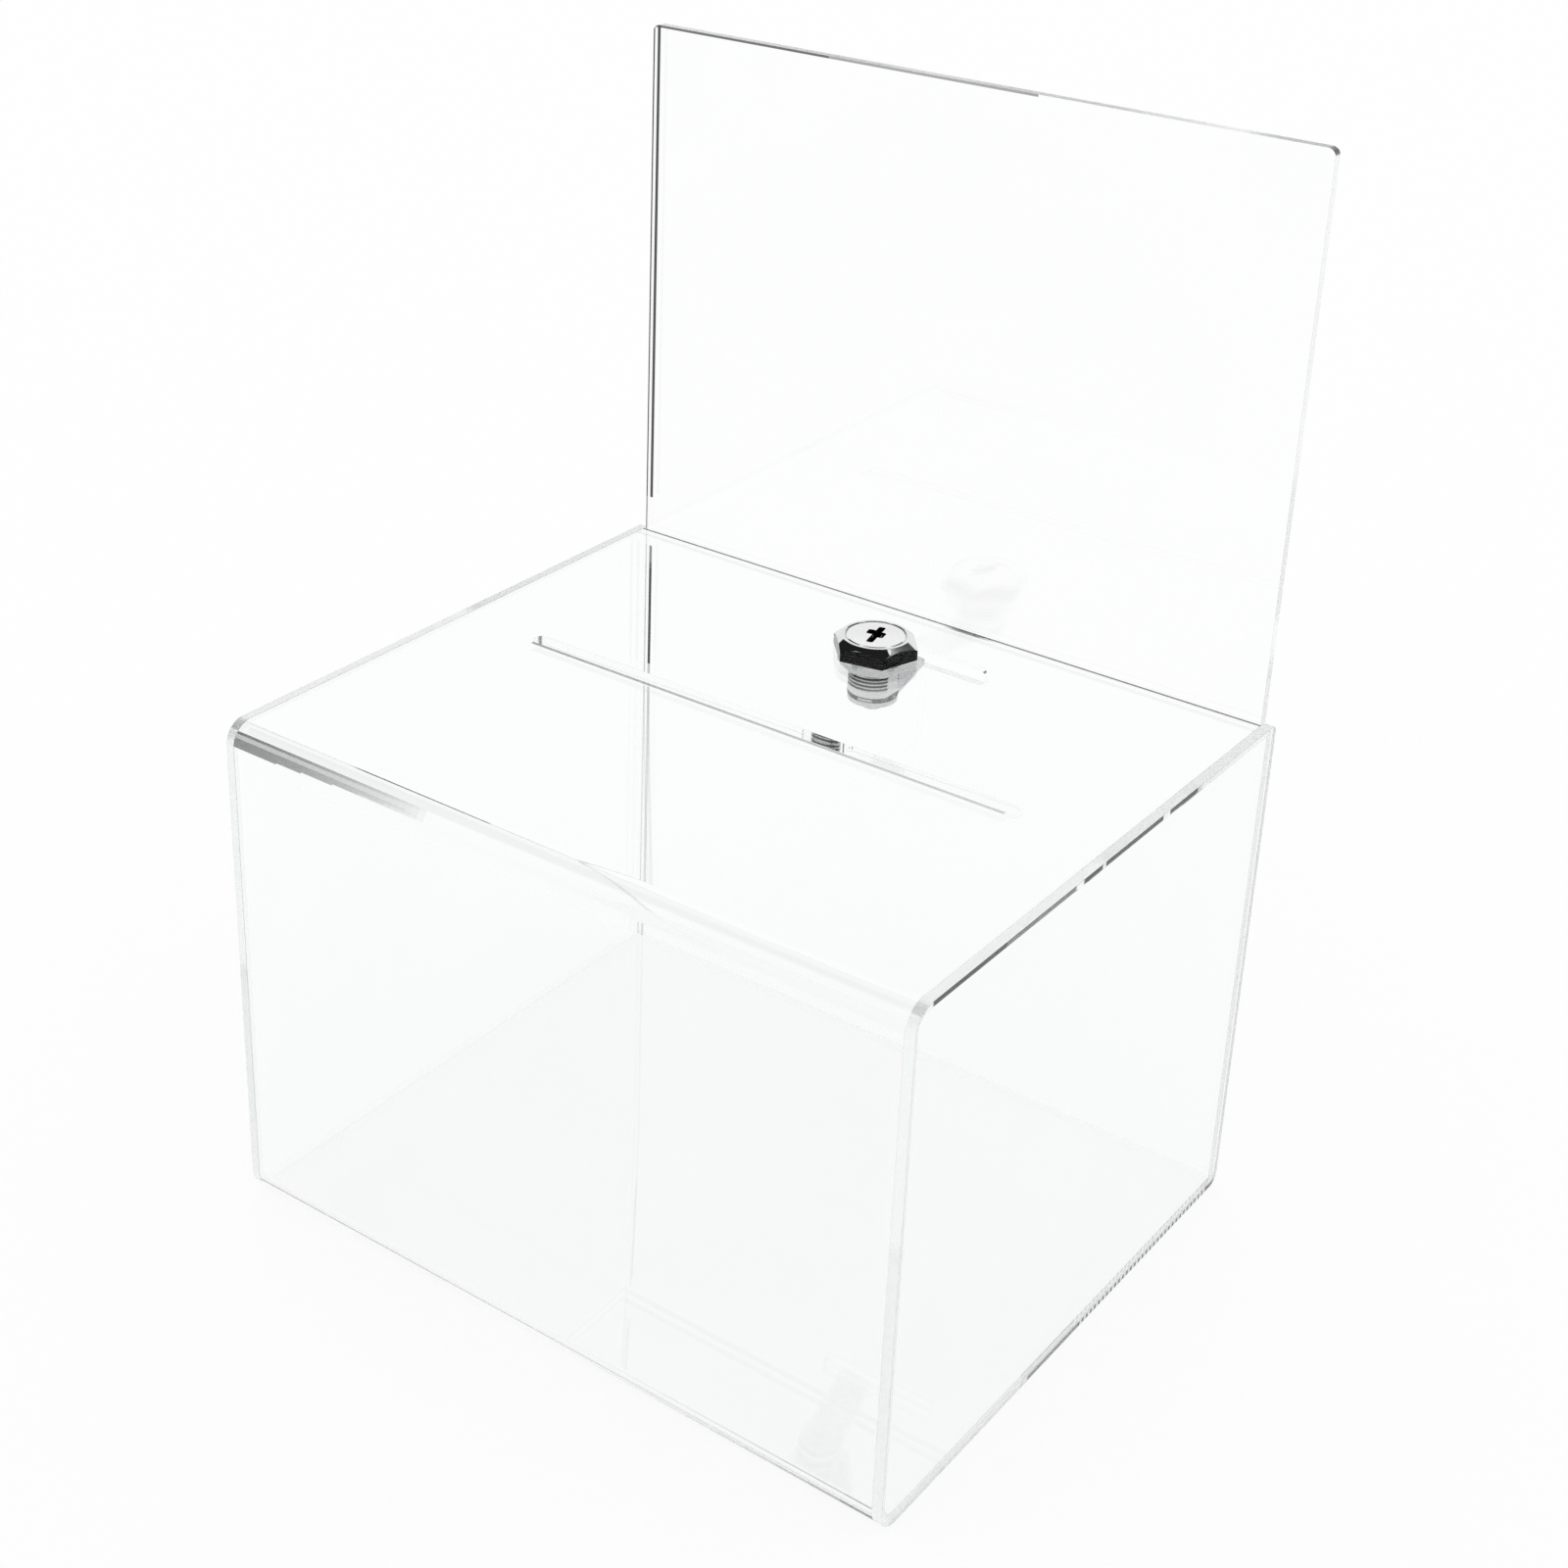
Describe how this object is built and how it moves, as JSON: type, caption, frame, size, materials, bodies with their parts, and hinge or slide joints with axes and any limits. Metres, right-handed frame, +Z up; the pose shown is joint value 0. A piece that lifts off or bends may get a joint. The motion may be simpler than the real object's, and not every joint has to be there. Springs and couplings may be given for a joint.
{
  "type": "donation box",
  "caption": "Clear acrylic donation box with a money slot in the top, a lift-out rear panel that carries a sign header, and a cam lock.",
  "frame": {"origin": "centre of the box's footprint, on the surface that it stands on", "axes": "+Z up, -Y towards the front, +X to the right as seen from the front"},
  "size_m": [0.295, 0.244, 0.42],
  "materials": {
    "clear_acrylic": "clear, polished",
    "chrome_plate": "bright plated zinc casting",
    "wafer_brass": "stamped",
    "plated_steel": "zinc plated"
  },
  "bodies": {
    "box": {"wrap_sheet": "clear_acrylic", "left_side_panel": "clear_acrylic", "right_side_panel": "clear_acrylic", "lock_body": "chrome_plate", "lock_nut": "chrome_plate"},
    "rear_panel": {"rear_panel": "clear_acrylic"},
    "lock_core": {"lock_plug": "chrome_plate", "tumbler_wafer_1": "wafer_brass", "tumbler_wafer_2": "wafer_brass", "tumbler_wafer_3": "wafer_brass", "tumbler_wafer_4": "wafer_brass", "tumbler_wafer_5": "wafer_brass", "wafer_spring_1": "plated_steel", "wafer_spring_2": "plated_steel", "wafer_spring_3": "plated_steel", "wafer_spring_4": "plated_steel", "wafer_spring_5": "plated_steel", "cam_stop_washer": "plated_steel", "lock_cam": "plated_steel", "cam_washer": "plated_steel", "cam_screw": "plated_steel"}
  },
  "joints": [
    {"name": "rear_panel_lift", "type": "slide", "parent": "box", "child": "rear_panel", "axis": [0, 0, 1], "range_m": [0, 0.2]},
    {"name": "lock_turn", "type": "hinge", "parent": "box", "child": "lock_core", "pos_m": [0, 0.0785, 0.206], "axis": [0, 0, 1], "range_deg": [-12, 78]}
  ]
}
